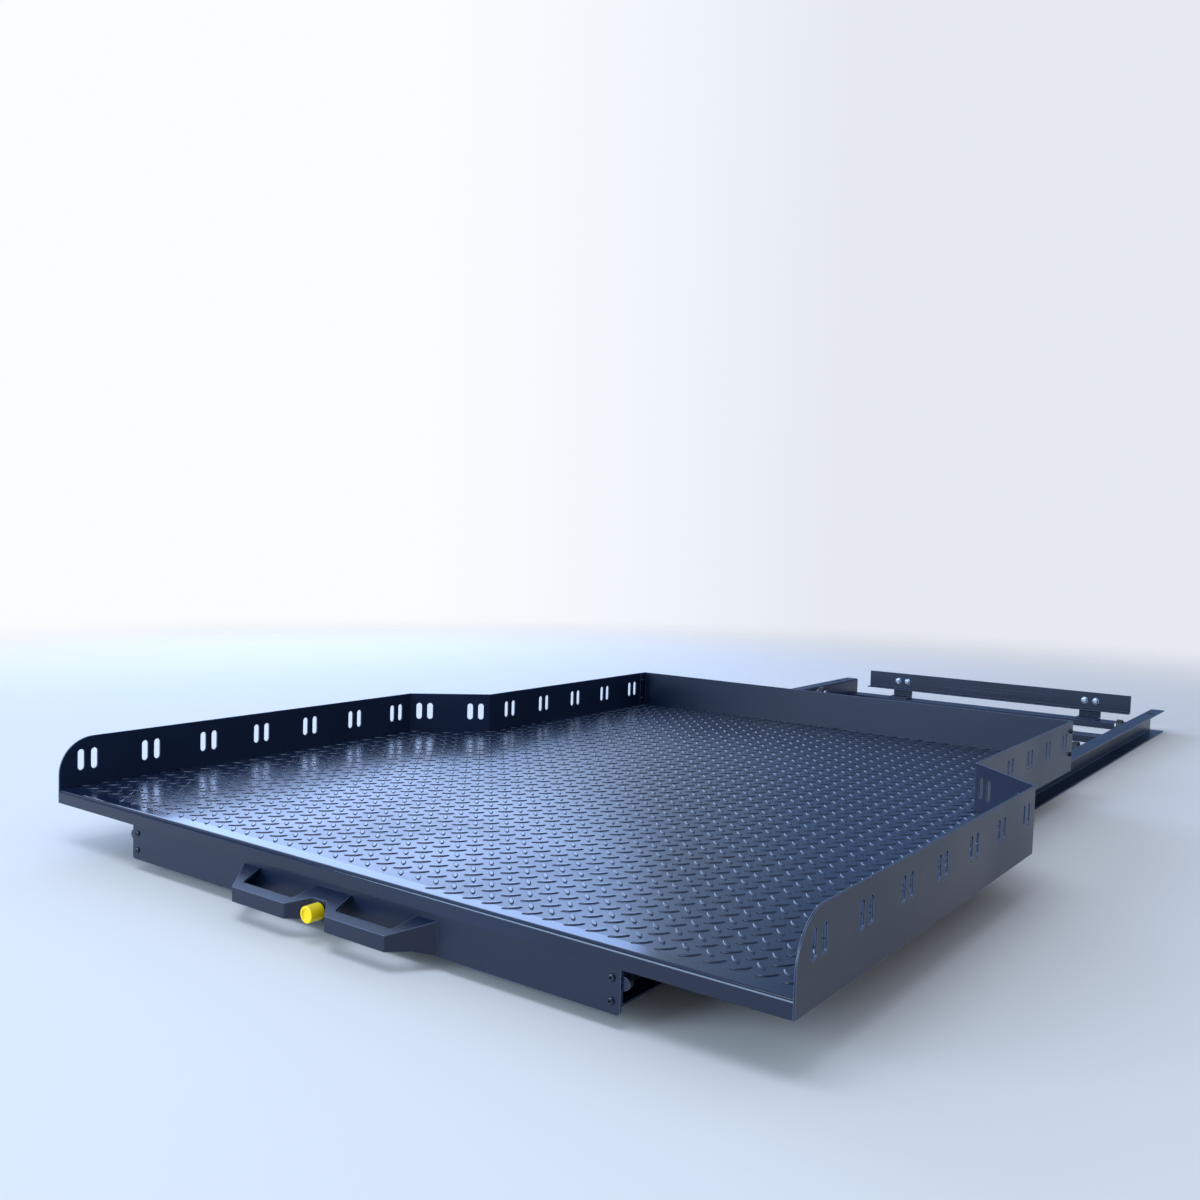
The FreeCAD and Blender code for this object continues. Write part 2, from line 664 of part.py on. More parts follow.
def return_spring():
    """Coil round the rod, between the last guide and the collar."""
    pitch = (SPRING_LONG - 2 * WIRE_R) / SPRING_TURNS
    path = Part.makeHelix(pitch, pitch * SPRING_TURNS, SPRING_MEAN_R)
    section = Part.Wire(Part.Circle(V(SPRING_MEAN_R, 0, 0), V(0, 1, 0), WIRE_R).toShape())
    spring = Part.Wire(path.Edges).makePipeShell([section], True, True)
    spring.rotate(V(0, 0, 0), V(1, 0, 0), -90)
    spring.translate(V(0, SPRING_Y0 + WIRE_R, ROD_Z))
    return spring


def cam_plate():
    """Plate at the rod's end; its slanted slot lifts the pin as the knob is pulled."""
    arm_end = PIN_Y - CAM_ARM_END
    front = PIN_Y + CAM_FRONT
    outline = [(CAM_START, CAM_ARM_LOW), (arm_end, CAM_ARM_LOW), (arm_end, CAM_LOW), (front, CAM_LOW)]
    outline = outline + [(front, CAM_TOP), (PIN_Y - CAM_SHOULDER, CAM_TOP), (CAM_START, CAM_ARM_TOP)]
    plate = slab_yz(outline, -CAM_THICK / 2, CAM_THICK / 2)
    r = CROSS_PIN_R + RUN_GAP
    run = math.hypot(PULL, LIFT)
    slot = box(-CAM_THICK, CAM_THICK, 0, run, -r, r)
    slot = slot.fuse([rod_x(-CAM_THICK, CAM_THICK, y, 0, r) for y in (0, run)]).removeSplitter()
    slot.rotate(V(0, 0, 0), V(1, 0, 0), math.degrees(math.atan2(LIFT, PULL)))
    slot.translate(V(0, PIN_Y, CAM_SLOT_LOW))
    return plate.cut(slot)


def lock_pin():
    """Round pin, forked to pass round the cam plate."""
    tip = CROSS_HIGH + PIN_TIP_GAP
    pin = rod_z(tip, PIN_HEAD, 0, PIN_Y, PIN_R)
    pin = pin.makeChamfer(PIN_CHAMFER, [edge for edge in pin.Edges if edge.BoundBox.ZMax < tip + RUN_GAP])
    half = CAM_THICK / 2 + RUN_GAP
    fork = box(-half, half, PIN_Y - 2 * PIN_R, PIN_Y + 2 * PIN_R, CAM_LOW - LIFT - RUN_GAP, CAM_TOP + RUN_GAP)
    return pin.cut([fork, rod_x(-2 * PIN_R, 2 * PIN_R, PIN_Y, CAM_SLOT_LOW, CROSS_PIN_R)])


def cross_pin():
    return rod_x(-CROSS_PIN_LONG / 2, CROSS_PIN_LONG / 2, PIN_Y, CAM_SLOT_LOW, CROSS_PIN_R)


def lock_housing():
    """Two cheeks hung from the deck with two bored guide plates between them."""
    low = KEEPER_TOP + HOUSING_FLOOR_GAP
    y0 = PIN_Y - HOUSING_LONG / 2
    y1 = PIN_Y + HOUSING_LONG / 2
    cheek = box(HOUSING_HALF, HOUSING_HALF + SHEET, y0, y1, low, DECK_UNDER)
    low_guide = box(-HOUSING_HALF, HOUSING_HALF, y0, y1, low, low + LOW_GUIDE_THICK)
    high_guide = box(-HOUSING_HALF, HOUSING_HALF, y0, y1, PIN_HEAD - HIGH_GUIDE_THICK, PIN_HEAD)
    housing = cheek.fuse([other_side(cheek), low_guide, high_guide]).removeSplitter()
    return housing.cut(rod_z(low - PAST, DECK_UNDER + PAST, 0, PIN_Y, PIN_R + PIN_FIT))


def fixed_rail():
    """Folded channel, bolted down through its lower flange; the rollers' axles pass its web."""
    x0 = RAIL_WEB_X
    run = (BASE_REAR, BASE_FRONT)
    rail = folded_channel((x0, x0 + RAIL_FLANGE), (0.0, RAIL_HEIGHT), RAIL_SHEET, RAIL_BEND_R, run)
    bolt_x = x0 + FLOOR_BOLT_OUT
    cutters = []
    for y in (BASE_REAR + FLOOR_BOLT_FROM_END, BASE_FRONT - FLOOR_BOLT_FROM_END):
        cutters.append(rod_z(-PAST, RAIL_SHEET + PAST, bolt_x, y, FLOOR_HOLE_R))
        # a larger hole above lets the driver reach the bolt
        cutters.append(rod_z(RAIL_HEIGHT - RAIL_SHEET - PAST, RAIL_HEIGHT + PAST, bolt_x, y, DRIVER_HOLE_R))
    for step in ROLLER_STEPS:
        axle_r = AXLE_R + AXLE_HOLE_FIT
        cutters.append(rod_x(x0 - PAST, x0 + RAIL_SHEET + PAST, BASE_REAR + step, ROLLER_Z, axle_r))
    return rail.cut(cutters)


def roller(y):
    x0 = RUNNER_X0 + ROLLER_FROM_WEB
    x1 = x0 + ROLLER_WIDE
    wheel = rod_x(x0, x1, y, ROLLER_Z, ROLLER_R)
    wheel = rounded(wheel, ROLLER_ROUND, lambda edge: edge.BoundBox.XLength < SAME_PLACE)
    dish = rod_x(x0 - PAST, x0 + ROLLER_DISH, y, ROLLER_Z, ROLLER_R - ROLLER_RIM)
    dish = dish.cut(rod_x(x0 - PAST, x0 + ROLLER_DISH, y, ROLLER_Z, AXLE_R + ROLLER_HUB))
    return wheel.cut([dish, rod_x(x0 - PAST, x1 + PAST, y, ROLLER_Z, AXLE_R + AXLE_FIT)])


def axle(y):
    """Bolt, spacer and nut of one roller."""
    head_x = RUNNER_X0 + ROLLER_FROM_WEB - RUN_GAP
    spacer_x = head_x + RUN_GAP + ROLLER_WIDE + RUN_GAP
    nut_x = RAIL_WEB_X + RAIL_SHEET
    face = head_x - AXLE_HEAD_HIGH
    head = rod_x(face, head_x, y, ROLLER_Z, AXLE_HEAD_R)
    head = rounded(head, AXLE_HEAD_ROUND, lambda edge: near(edge.BoundBox.XMax, face))
    socket = slab_yz(hexagon(y, ROLLER_Z, AXLE_SOCKET), face - PAST, face + AXLE_HEAD_HIGH / 2)
    bolt = head.cut(socket).fuse(rod_x(head_x, nut_x + AXLE_TAIL, y, ROLLER_Z, AXLE_R)).removeSplitter()
    spacer = rod_x(spacer_x, RAIL_WEB_X, y, ROLLER_Z, SPACER_R)
    spacer = spacer.cut(rod_x(spacer_x - PAST, RAIL_WEB_X + PAST, y, ROLLER_Z, AXLE_R))
    nut = slab_yz(hexagon(y, ROLLER_Z, AXLE_NUT_ACROSS), nut_x, nut_x + AXLE_NUT_THICK)
    nut = nut.cut(rod_x(nut_x - PAST, nut_x + AXLE_NUT_THICK + PAST, y, ROLLER_Z, AXLE_R))
    return bolt, spacer, nut


def crossmember(y_mid, keeper=False, stops=False):
    """Low channel between the fixed rails; some carry a ramped keeper or the out-stops."""
    member = slab_yz(channel_down(y_mid, CROSS_WIDE, 0.0, CROSS_HIGH, SHEET), -RAIL_WEB_X, RAIL_WEB_X)
    if keeper:
        low = KEEPER_LONG / 2
        high = low - KEEPER_RAMP
        ramp = [(y_mid - low, CROSS_HIGH), (y_mid - high, KEEPER_TOP)]
        ramp = ramp + [(y_mid + high, KEEPER_TOP), (y_mid + low, CROSS_HIGH)]
        member = member.fuse(slab_yz(ramp, -KEEPER_WIDE / 2, KEEPER_WIDE / 2)).removeSplitter()
        member = member.cut(rod_z(0.0, KEEPER_TOP + PAST, 0, y_mid, PIN_R + RUN_GAP))
    if stops:
        back = STOP_FACE - STOP_THICK
        block = box(STOP_X - STOP_WIDE / 2, STOP_X + STOP_WIDE / 2, back, STOP_FACE, CROSS_HIGH, STOP_TOP)
        gusset = [(back, CROSS_HIGH), (back, STOP_TOP - GUSSET_DROP), (back - GUSSET_LONG, CROSS_HIGH)]
        block = block.fuse(slab_yz(gusset, STOP_X - GUSSET_THICK / 2, STOP_X + GUSSET_THICK / 2))
        member = member.fuse(both_sides(block)).removeSplitter()
    return member


def bar_bolt_places():
    return [(side * FOOT_MID_X + step * BAR_BOLT_STEP / 2) for side in (-1, 1) for step in (-1, 1)]


def bar_bolt_holes():
    y1 = BAR_FACE + BAR_SHEET + FOOT_THICK
    r = BAR_BOLT_R + BAR_BOLT_FIT
    return [rod_y(BAR_FACE - PAST, y1 + PAST, x, BAR_BOLT_Z, r) for x in bar_bolt_places()]


def front_bar():
    """Raised angle bar, its lower leg toward the tray."""
    back = BAR_FACE + BAR_SHEET
    tip = BAR_FACE - BAR_LEG
    shelf = BAR_BOTTOM + BAR_SHEET
    outside = [(tip, BAR_BOTTOM), (back, BAR_BOTTOM), (back, BAR_TOP)]
    inside = [(BAR_FACE, BAR_TOP), (BAR_FACE, shelf), (tip, shelf)]
    bar = slab_yz(outside + inside, -BAR_HALF, BAR_HALF)
    bar = rounded(bar, RAIL_BEND_R, cross_edge(back, BAR_BOTTOM))
    bar = rounded(bar, RAIL_BEND_R - BAR_SHEET, cross_edge(BAR_FACE, shelf))
    return bar.cut(bar_bolt_holes())


def bar_foot():
    """Bracket from the last crossmember up to the front bar."""
    y0 = BAR_FACE + BAR_SHEET
    y1 = y0 + FOOT_THICK
    top = BAR_TOP - FOOT_BELOW_BAR
    shelf = CROSS_HIGH + FOOT_THICK
    outside = [(y1, CROSS_HIGH), (y1, top), (y0, top), (y0, shelf)]
    inside = [(y0 - FOOT_LEG, shelf), (y0 - FOOT_LEG, CROSS_HIGH)]
    foot = slab_yz(outside + inside, FOOT_MID_X - FOOT_WIDE / 2, FOOT_MID_X + FOOT_WIDE / 2)
    foot = rounded(foot, FOOT_BEND_R, cross_edge(y1, CROSS_HIGH))
    return foot.cut(bar_bolt_holes())


def bar_fasteners():
    """Bright dome-headed bolts with nuts behind the feet."""
    y1 = BAR_FACE + BAR_SHEET + FOOT_THICK
    flange_y = BAR_FACE - DOME_FLANGE_THICK
    bolts = []
    nuts = []
    for x in bar_bolt_places():
        flange = rod_y(flange_y, BAR_FACE, x, BAR_BOLT_Z, DOME_FLANGE_R)
        dome = rod_y(flange_y - DOME_HIGH, flange_y, x, BAR_BOLT_Z, DOME_R)
        dome = rounded(dome, DOME_ROUND, lambda edge: near(edge.BoundBox.YMax, flange_y - DOME_HIGH))
        shank = rod_y(BAR_FACE - PAST, y1 + BAR_NUT_THICK + PAST, x, BAR_BOLT_Z, BAR_BOLT_R)
        bolts.append(dome.fuse([flange, shank]).removeSplitter())
        nut = slab_xz(hexagon(x, BAR_BOLT_Z, BAR_NUT_ACROSS), y1, y1 + BAR_NUT_THICK)
        nuts.append(nut.cut(rod_y(y1 - PAST, y1 + BAR_NUT_THICK + PAST, x, BAR_BOLT_Z, BAR_BOLT_R)))
    return bolts, nuts


def tray():
    keep("deck_plate", deck_plate())
    keep_pair("side_wall_%s", side_wall())
    keep("rear_wall", rear_wall())
    screws, nuts = wall_fasteners()
    keep_group("wall_screws", screws)
    keep_group("wall_nuts", nuts)
    keep("fascia_plate", fascia_plate())
    keep_group("fascia_screws", fascia_screws())
    keep("handle", handle())
    keep_pair("runner_%s", runner())
    keep_pair("stop_buffer_%s", stop_buffer())
    keep("cross_bearer_1", cross_bearer(TAIL + BEARER_1_FROM_TAIL))
    keep("cross_bearer_2", cross_bearer(TAIL + BEARER_2_FROM_TAIL, guide=True))
    keep("cross_bearer_3", cross_bearer(TAIL + BEARER_3_FROM_TAIL, guide=True))
    keep("cross_bearer_4", cross_bearer(BEARER_4_Y, guide=True))
    keep("cross_bearer_5", cross_bearer(BEARER_5_Y, stops=True))


def lock():
    keep("pull_knob", pull_knob())
    keep("pull_rod", pull_rod())
    keep("rod_collar", rod_collar())
    keep("return_spring", return_spring())
    keep("cam_plate", cam_plate())
    keep("lock_pin", lock_pin())
    keep("cross_pin", cross_pin())
    keep("lock_housing", lock_housing())


def base():
    keep_pair("fixed_rail_%s", fixed_rail())
    bolts = []
    spacers = []
    nuts = []
    for number, step in enumerate(ROLLER_STEPS, 1):
        keep_pair("roller_%s_" + str(number), roller(BASE_REAR + step))
        bolt, spacer, nut = axle(BASE_REAR + step)
        bolts += both_sides(bolt)
        spacers += both_sides(spacer)
        nuts += both_sides(nut)
    keep_group("axle_bolts", bolts)
    keep_group("axle_spacers", spacers)
    keep_group("axle_nuts", nuts)
    keep("floor_crossmember_1", crossmember(PIN_Y, keeper=True))
    keep("floor_crossmember_2", crossmember(STOP_MEMBER_Y, stops=True))
    keep("floor_crossmember_3", crossmember(PIN_Y + TRAVEL, keeper=True))
    keep("floor_crossmember_4", crossmember(BASE_FRONT - CROSS_FROM_FRONT))
    keep("front_bar", front_bar())
    keep_pair("bar_foot_%s", bar_foot())
    bolts, nuts = bar_fasteners()
    keep_group("bar_bolts", bolts)
    keep_group("bar_nuts", nuts)


tray()
lock()
base()
os.makedirs("parts", exist_ok=True)
for name, shape in pieces:
    shape.exportStep("parts/" + name + ".step")
print(len(pieces), "pieces")
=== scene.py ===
import math

import bmesh
import bpy
from mathutils import Matrix, Vector


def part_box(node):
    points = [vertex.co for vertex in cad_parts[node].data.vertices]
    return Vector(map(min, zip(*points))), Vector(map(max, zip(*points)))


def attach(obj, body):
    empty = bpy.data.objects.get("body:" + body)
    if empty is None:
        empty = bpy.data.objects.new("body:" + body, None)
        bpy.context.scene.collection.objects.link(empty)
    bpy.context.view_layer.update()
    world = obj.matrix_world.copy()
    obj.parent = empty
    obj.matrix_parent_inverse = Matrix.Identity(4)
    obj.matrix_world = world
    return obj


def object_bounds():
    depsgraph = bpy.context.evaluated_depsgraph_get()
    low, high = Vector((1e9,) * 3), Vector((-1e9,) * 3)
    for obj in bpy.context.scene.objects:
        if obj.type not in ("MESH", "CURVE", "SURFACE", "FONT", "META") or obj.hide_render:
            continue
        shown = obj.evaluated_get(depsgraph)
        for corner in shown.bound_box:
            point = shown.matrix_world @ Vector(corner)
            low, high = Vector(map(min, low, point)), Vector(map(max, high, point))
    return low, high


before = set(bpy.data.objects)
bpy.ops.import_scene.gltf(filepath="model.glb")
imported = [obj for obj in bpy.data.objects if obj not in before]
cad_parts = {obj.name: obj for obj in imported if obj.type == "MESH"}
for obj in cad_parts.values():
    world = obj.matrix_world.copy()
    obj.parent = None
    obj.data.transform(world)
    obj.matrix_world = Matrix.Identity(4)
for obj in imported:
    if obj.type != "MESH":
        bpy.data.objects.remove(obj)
size_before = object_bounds()

MM = 0.001

# The deck's outline, read from the frame: it is as wide as the tray inside its walls.
DECK_LOW, DECK_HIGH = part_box("deck_plate")
TAIL = DECK_LOW[1]
DECK_TOP = DECK_HIGH[2]
DECK_POINTS = [vertex.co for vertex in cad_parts["deck_plate"].data.vertices]
SAME_PLACE = 0.1 * MM
WIDE = DECK_HIGH[0]
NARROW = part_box("rear_wall")[1][0]
STEP_START = max(point.y for point in DECK_POINTS if point.x > WIDE - SAME_PLACE)
STEP_END = min(point.y for point in DECK_POINTS if abs(point.x - NARROW) < SAME_PLACE)

# The raised tread: two families of almond lugs at right angles, half a pitch apart. Each start is
# one lug's middle: its X, and how far it lies in from the tail.
LUG_LONG = 26.0 * MM
LUG_WIDE = 7.2 * MM
LUG_HIGH = 1.3 * MM
LUG_SINK = 0.05 * MM
LUG_ACROSS = 29.7 * MM
LUG_ALONG = 35.4 * MM
LUG_TURN = math.radians(46.0)
PATTERN_TURN = math.radians(1.5)
LUG_START_LEFT_LEAN = (465.0 * MM, 52.3 * MM)
LUG_START_RIGHT_LEAN = (451.6 * MM, 33.8 * MM)
LUG_COLUMNS = range(-39, 8)
LUG_ROWS = range(-2, 44)
LUG_PROFILE = ((1.0, 0.0), (0.84, 0.72), (0.60, 1.0))
LUG_STATIONS = (-1.0, -0.75, -0.3, 0.3, 0.75)
LUG_ALMOND = 0.8
LUG_TAPER = 0.70
LUG_OVERHANG = LUG_LONG / 4
EDGE_MARGIN = 1.0 * MM
PLAIN_STRIP = 26.0 * MM

# The coat: how large its orange peel and its dulled patches are, and how much bare edges are eased.
PEEL = 2.5 * MM
WALL_PATCH = 200.0 * MM
DECK_PATCH = 250.0 * MM
SHEET_EDGE = 1.1 * MM
SMALL_EDGE = 0.4 * MM
HIGHLIGHT_STARTS, HIGHLIGHT_FULL = 0.985, 0.85  # where the painted edge highlight starts and is full: how far an eased edge has turned, as a cosine
COAT_IOR = 1.5
STRIP_FADE = 2.0 * MM
STRIP_ROUGHNESS = 0.14
LUG_TOP_ROUGHNESS = 0.20
NOISE_SPAN = {"From Min": 0.35, "From Max": 0.65}

# The studio, in metres: a round floor that fades out, and where the soft boxes aim.
FLOOR_RADIUS = 6.0
FLOOR_FADE_START = 1.8
FLOOR_FADE_END = 4.6
FLOOR_DROP = 0.2 * MM
AIM = (0.0, -1.2, 0.1)
BRIGHT_SIDE = (-0.966, 0.259, 0.0)
OVERHEAD_STARTS, OVERHEAD_FULL = 0.45, 0.80  # the upward share of a direction
SEEN_WHITENING = 0.75


def linear(code):
    """Turns an sRGB hex colour into linear RGBA."""
    parts = [int(code[i : i + 2], 16) / 255.0 for i in (1, 3, 5)]
    return [c / 12.92 if c <= 0.04045 else ((c + 0.055) / 1.055) ** 2.4 for c in parts] + [1.0]


def add(tree, kind, settings=None, values=None, links=None, stops=None):
    """Adds one node with its properties, plain sockets, joined sockets and any colour stops."""
    node = tree.nodes.new(kind)
    for key, value in (settings or {}).items():
        setattr(node, key, value)
    for key, value in (values or {}).items():
        node.inputs[key].default_value = value
    for key, socket in (links or {}).items():
        tree.links.new(socket, node.inputs[key])
    if stops:
        bar = node.color_ramp.elements
        bar.remove(bar[-1])
        bar[0].position, bar[0].color = stops[0][0], linear(stops[0][1])
        for place, code in stops[1:]:
            bar.new(place).color = linear(code)
    return node


def new_material(name):
    """An empty material with its output, and the place on the object that patterns follow."""
    material = bpy.data.materials.new(name)
    material.use_nodes = True
    tree = material.node_tree
    tree.nodes.clear()
    out = add(tree, "ShaderNodeOutputMaterial")
    place = add(tree, "ShaderNodeTexCoord").outputs["Object"]
    return material, tree, out, place


def powder_coat():
    """Satin black polyester powder coat, sprayed and oven cured on folded steel sheet.

    The eye gets a soft sheen over black with a painted blue cast for cool sky light, a faint
    orange peel 2.5 mm across, broad patches where handling has dulled it, and a painted
    highlight: sheet edges painted a lighter blue-grey.
    """
    material, tree, out, place = new_material("satin_black_powder_coat")
    peel = add(
        tree,
        "ShaderNodeTexNoise",
        values={"Scale": 1.0 / PEEL, "Detail": 2.0},
        links={"Vector": place},
    )
    patches = add(
        tree,
        "ShaderNodeTexNoise",
        values={"Scale": 1.0 / WALL_PATCH, "Detail": 3.0},
        links={"Vector": place},
    )
    eased = add(tree, "ShaderNodeBevel", {"samples": 4}, {"Radius": SHEET_EDGE})
    bump = add(
        tree,
        "ShaderNodeBump",
        values={"Strength": 0.06, "Distance": 0.2 * MM},
        links={"Height": peel.outputs["Fac"], "Normal": eased.outputs["Normal"]},
    )
    facing = add(
        tree,
        "ShaderNodeVectorMath",
        {"operation": "DOT_PRODUCT"},
        links={0: eased.outputs["Normal"], 1: add(tree, "ShaderNodeNewGeometry").outputs["Normal"]},
    )
    # Mask of the painted highlight along sheet edges, from how far the eased normal turns from the
    # face's own.
    edge_highlight_mask = add(
        tree,
        "ShaderNodeMapRange",
        values={"From Min": HIGHLIGHT_STARTS, "From Max": HIGHLIGHT_FULL, "To Min": 0.0, "To Max": 1.0},
        links={"Value": facing.outputs["Value"]},
    )
    dull = add(
        tree,
        "ShaderNodeMapRange",
        values={**NOISE_SPAN, "To Min": 0.33, "To Max": 0.41},
        links={"Value": patches.outputs["Fac"]},
    )
    # The coat itself is black: the blue in both shades is a painted cast standing in for cool sky
    # light; the step between them is random tone.
    tint = add(
        tree,
        "ShaderNodeValToRGB",
        links={"Fac": patches.outputs["Fac"]},
        stops=[(0.35, "#08172f"), (0.65, "#0c1d37")],
    )
    # Painted highlight: edges get a light blue-grey colour that stands in for the bright lines
    # light draws along them.
    edge_highlighted = add(
        tree,
        "ShaderNodeMix",
        {"data_type": "RGBA"},
        {"B": linear("#7e8fae")},
        {"Factor": edge_highlight_mask.outputs["Result"], "A": tint.outputs["Color"]},
    )
    shader = add(
        tree,
        "ShaderNodeBsdfPrincipled",
        values={"IOR": COAT_IOR, "Metallic": 0.0},
        links={
            "Base Color": edge_highlighted.outputs["Result"],
            "Roughness": dull.outputs["Result"],
            "Normal": bump.outputs["Normal"],
        },
    )
    tree.links.new(shader.outputs["BSDF"], out.inputs["Surface"])
    return material


def tread_coat():
    """Black powder coat on rolled steel tread sheet.

    The eye gets a smoother, glossier skin than on the walls, since the rolls leave the sheet
    smooth, with lug tops polished by loads and dust that dulls the flat ground in patches. The
    plain strip at the tail's fold is rubbed clean and mirrors the light most.
    """
    material, tree, out, place = new_material("black_coated_tread_sheet")
    patches = add(
        tree,
        "ShaderNodeTexNoise",
        values={"Scale": 1.0 / DECK_PATCH, "Detail": 4.0},
        links={"Vector": place},
    )
    peel = add(
        tree,
        "ShaderNodeTexNoise",
        values={"Scale": 1.0 / PEEL, "Detail": 2.0},
        links={"Vector": place},
    )
    spot = add(tree, "ShaderNodeSeparateXYZ", links={"Vector": place})
    worn = add(
        tree,
        "ShaderNodeMapRange",
        values={
            "From Min": DECK_TOP + 0.2 * LUG_HIGH,
            "From Max": DECK_TOP + LUG_HIGH,
            "To Min": 0.0,
            "To Max": 1.0,
        },
        links={"Value": spot.outputs["Z"]},
    )
    dull = add(
        tree,
        "ShaderNodeMapRange",
        values={**NOISE_SPAN, "To Min": 0.23, "To Max": 0.31},
        links={"Value": patches.outputs["Fac"]},
    )
    inward = add(
        tree,
        "ShaderNodeMapRange",
        values={
            "From Min": TAIL + PLAIN_STRIP - STRIP_FADE,
            "From Max": TAIL + PLAIN_STRIP,
            "To Min": 0.0,
            "To Max": 1.0,
        },
        links={"Value": spot.outputs["Y"]},
    )
    ground = add(
        tree,
        "ShaderNodeMix",
        {"data_type": "FLOAT"},
        {"A": STRIP_ROUGHNESS},
        {"Factor": inward.outputs["Result"], "B": dull.outputs["Result"]},
    )
    gloss = add(
        tree,
        "ShaderNodeMix",
        {"data_type": "FLOAT"},
        {"B": LUG_TOP_ROUGHNESS},
        {"Factor": worn.outputs["Result"], "A": ground.outputs["Result"]},
    )
    # The tread sheet's coat is black: the blue in both shades is a painted cast standing in for
    # cool sky light; the step between them is random tone.
    tint = add(
        tree,
        "ShaderNodeValToRGB",
        links={"Fac": patches.outputs["Fac"]},
        stops=[(0.35, "#0e1b32"), (0.65, "#13233c")],
    )
    bump = add(
        tree,
        "ShaderNodeBump",
        values={"Strength": 0.03, "Distance": 0.2 * MM},
        links={"Height": peel.outputs["Fac"]},
    )
    shader = add(
        tree,
        "ShaderNodeBsdfPrincipled",
        values={"IOR": COAT_IOR, "Metallic": 0.0},
        links={
            "Base Color": tint.outputs["Color"],
            "Roughness": gloss.outputs["Result"],
            "Normal": bump.outputs["Normal"],
        },
    )
    tree.links.new(shader.outputs["BSDF"], out.inputs["Surface"])
    return material


def fine_finish(name, light, dark, smooth, rough, grain_size, grain_depth, metallic):
    """A finish in two close shades with fine grain, in millimetres, and eased edges."""
    material, tree, out, place = new_material(name)
    fine = 1.0 / (grain_size * MM)
    grain = add(
        tree,
        "ShaderNodeTexNoise",
        values={"Scale": fine, "Detail": 3.0},
        links={"Vector": place},
    )
    clouds = add(
        tree,
        "ShaderNodeTexNoise",
        values={"Scale": fine / 10.0, "Detail": 3.0},
        links={"Vector": place},
    )
    eased = add(tree, "ShaderNodeBevel", {"samples": 4}, {"Radius": SMALL_EDGE})
    bump = add(
        tree,
        "ShaderNodeBump",
        values={"Strength": 0.15, "Distance": grain_depth * MM},
        links={"Height": grain.outputs["Fac"], "Normal": eased.outputs["Normal"]},
    )
    dull = add(
        tree,
        "ShaderNodeMapRange",
        values={**NOISE_SPAN, "To Min": smooth, "To Max": rough},
        links={"Value": clouds.outputs["Fac"]},
    )
    tint = add(
        tree,
        "ShaderNodeValToRGB",
        links={"Fac": clouds.outputs["Fac"]},
        stops=[(0.35, dark), (0.65, light)],
    )
    shader = add(
        tree,
        "ShaderNodeBsdfPrincipled",
        values={"Metallic": metallic},
        links={
            "Base Color": tint.outputs["Color"],
            "Roughness": dull.outputs["Result"],
            "Normal": bump.outputs["Normal"],
        },
    )
    tree.links.new(shader.outputs["BSDF"], out.inputs["Surface"])
    return material


def zinc_plate():
    """Bright zinc plate on turned and stamped steel: cool grey, faintly mottled, semi-bright."""
    return fine_finish("bright_zinc_plated_steel", "#d3d9e2", "#bcc3ce", 0.24, 0.32, 1.4, 0.2, 1.0)


def spring_wire():
    """Drawn spring steel wire, lightly oiled: darker grey than zinc, with a sharper shine."""
    return fine_finish("drawn_spring_wire", "#9298a1", "#848a94", 0.24, 0.30, 1.1, 0.1, 1.0)


def black_zinc():
    """Black zinc plate on the small button screws: dark grey metal that glints on its rim."""
    return fine_finish("black_zinc_plated_steel", "#4c525e", "#3e444f", 0.22, 0.30, 1.2, 0.2, 1.0)


def yellow_plastic():
    """Injection-moulded yellow plastic: strong warm yellow, smooth, half gloss."""
    return fine_finish("moulded_yellow_plastic", "#ffe000", "#ffda00", 0.28, 0.34, 2.0, 0.1, 0.0)


def black_nylon():
    """Moulded black nylon rollers: dense black with a waxy half gloss on the tread."""
    return fine_finish("moulded_black_nylon", "#1c1e22", "#17191d", 0.34, 0.42, 1.6, 0.2, 0.0)


def rubber():
    """Moulded black rubber of the stop buttons: matt, slightly grey on its rim."""
    return fine_finish("moulded_black_rubber", "#131417", "#0f1012", 0.56, 0.68, 1.1, 0.4, 0.0)


def inside_deck(x, y):
    """The nearest place inside the deck's outline, a small margin from the walls."""
    side = 1 if x >= 0 else -1
    y = min(y, DECK_HIGH[1] - EDGE_MARGIN)
    share = min(max((y - STEP_START) / (STEP_END - STEP_START), 0.0), 1.0)
    half = WIDE + (NARROW - WIDE) * share - EDGE_MARGIN
    return side * min(abs(x), half), y


def lug_rings():
    """One lug as rings of (along, across, up), from its almond foot up a steep flank."""
    rings = []
    for share, up in LUG_PROFILE:
        ring = []
        for side in (1, -1):
            for t in LUG_STATIONS:
                along = t * side * (1.0 - LUG_TAPER + LUG_TAPER * share)
                across = side * (1.0 - t * t) ** LUG_ALMOND * share
                ring.append((along * LUG_LONG / 2, across * LUG_WIDE / 2, up * LUG_HIGH))
        rings.append(ring)
    return rings


def lug_places():
    """Each lug's middle and lean, all over the deck but for the plain strip at the tail."""
    across = Vector((math.cos(PATTERN_TURN), math.sin(PATTERN_TURN))) * LUG_ACROSS
    along = Vector((-math.sin(PATTERN_TURN), math.cos(PATTERN_TURN))) * LUG_ALONG
    places = []
    for start, lean in ((LUG_START_LEFT_LEAN, -LUG_TURN), (LUG_START_RIGHT_LEAN, LUG_TURN)):
        for column in LUG_COLUMNS:
            for row in LUG_ROWS:
                middle = Vector((start[0], TAIL + start[1])) + across * column + along * row
                kept = Vector(inside_deck(middle.x, middle.y))
                if middle.y > TAIL + PLAIN_STRIP and (middle - kept).length < LUG_OVERHANG:
                    places.append((middle, lean))
    return places


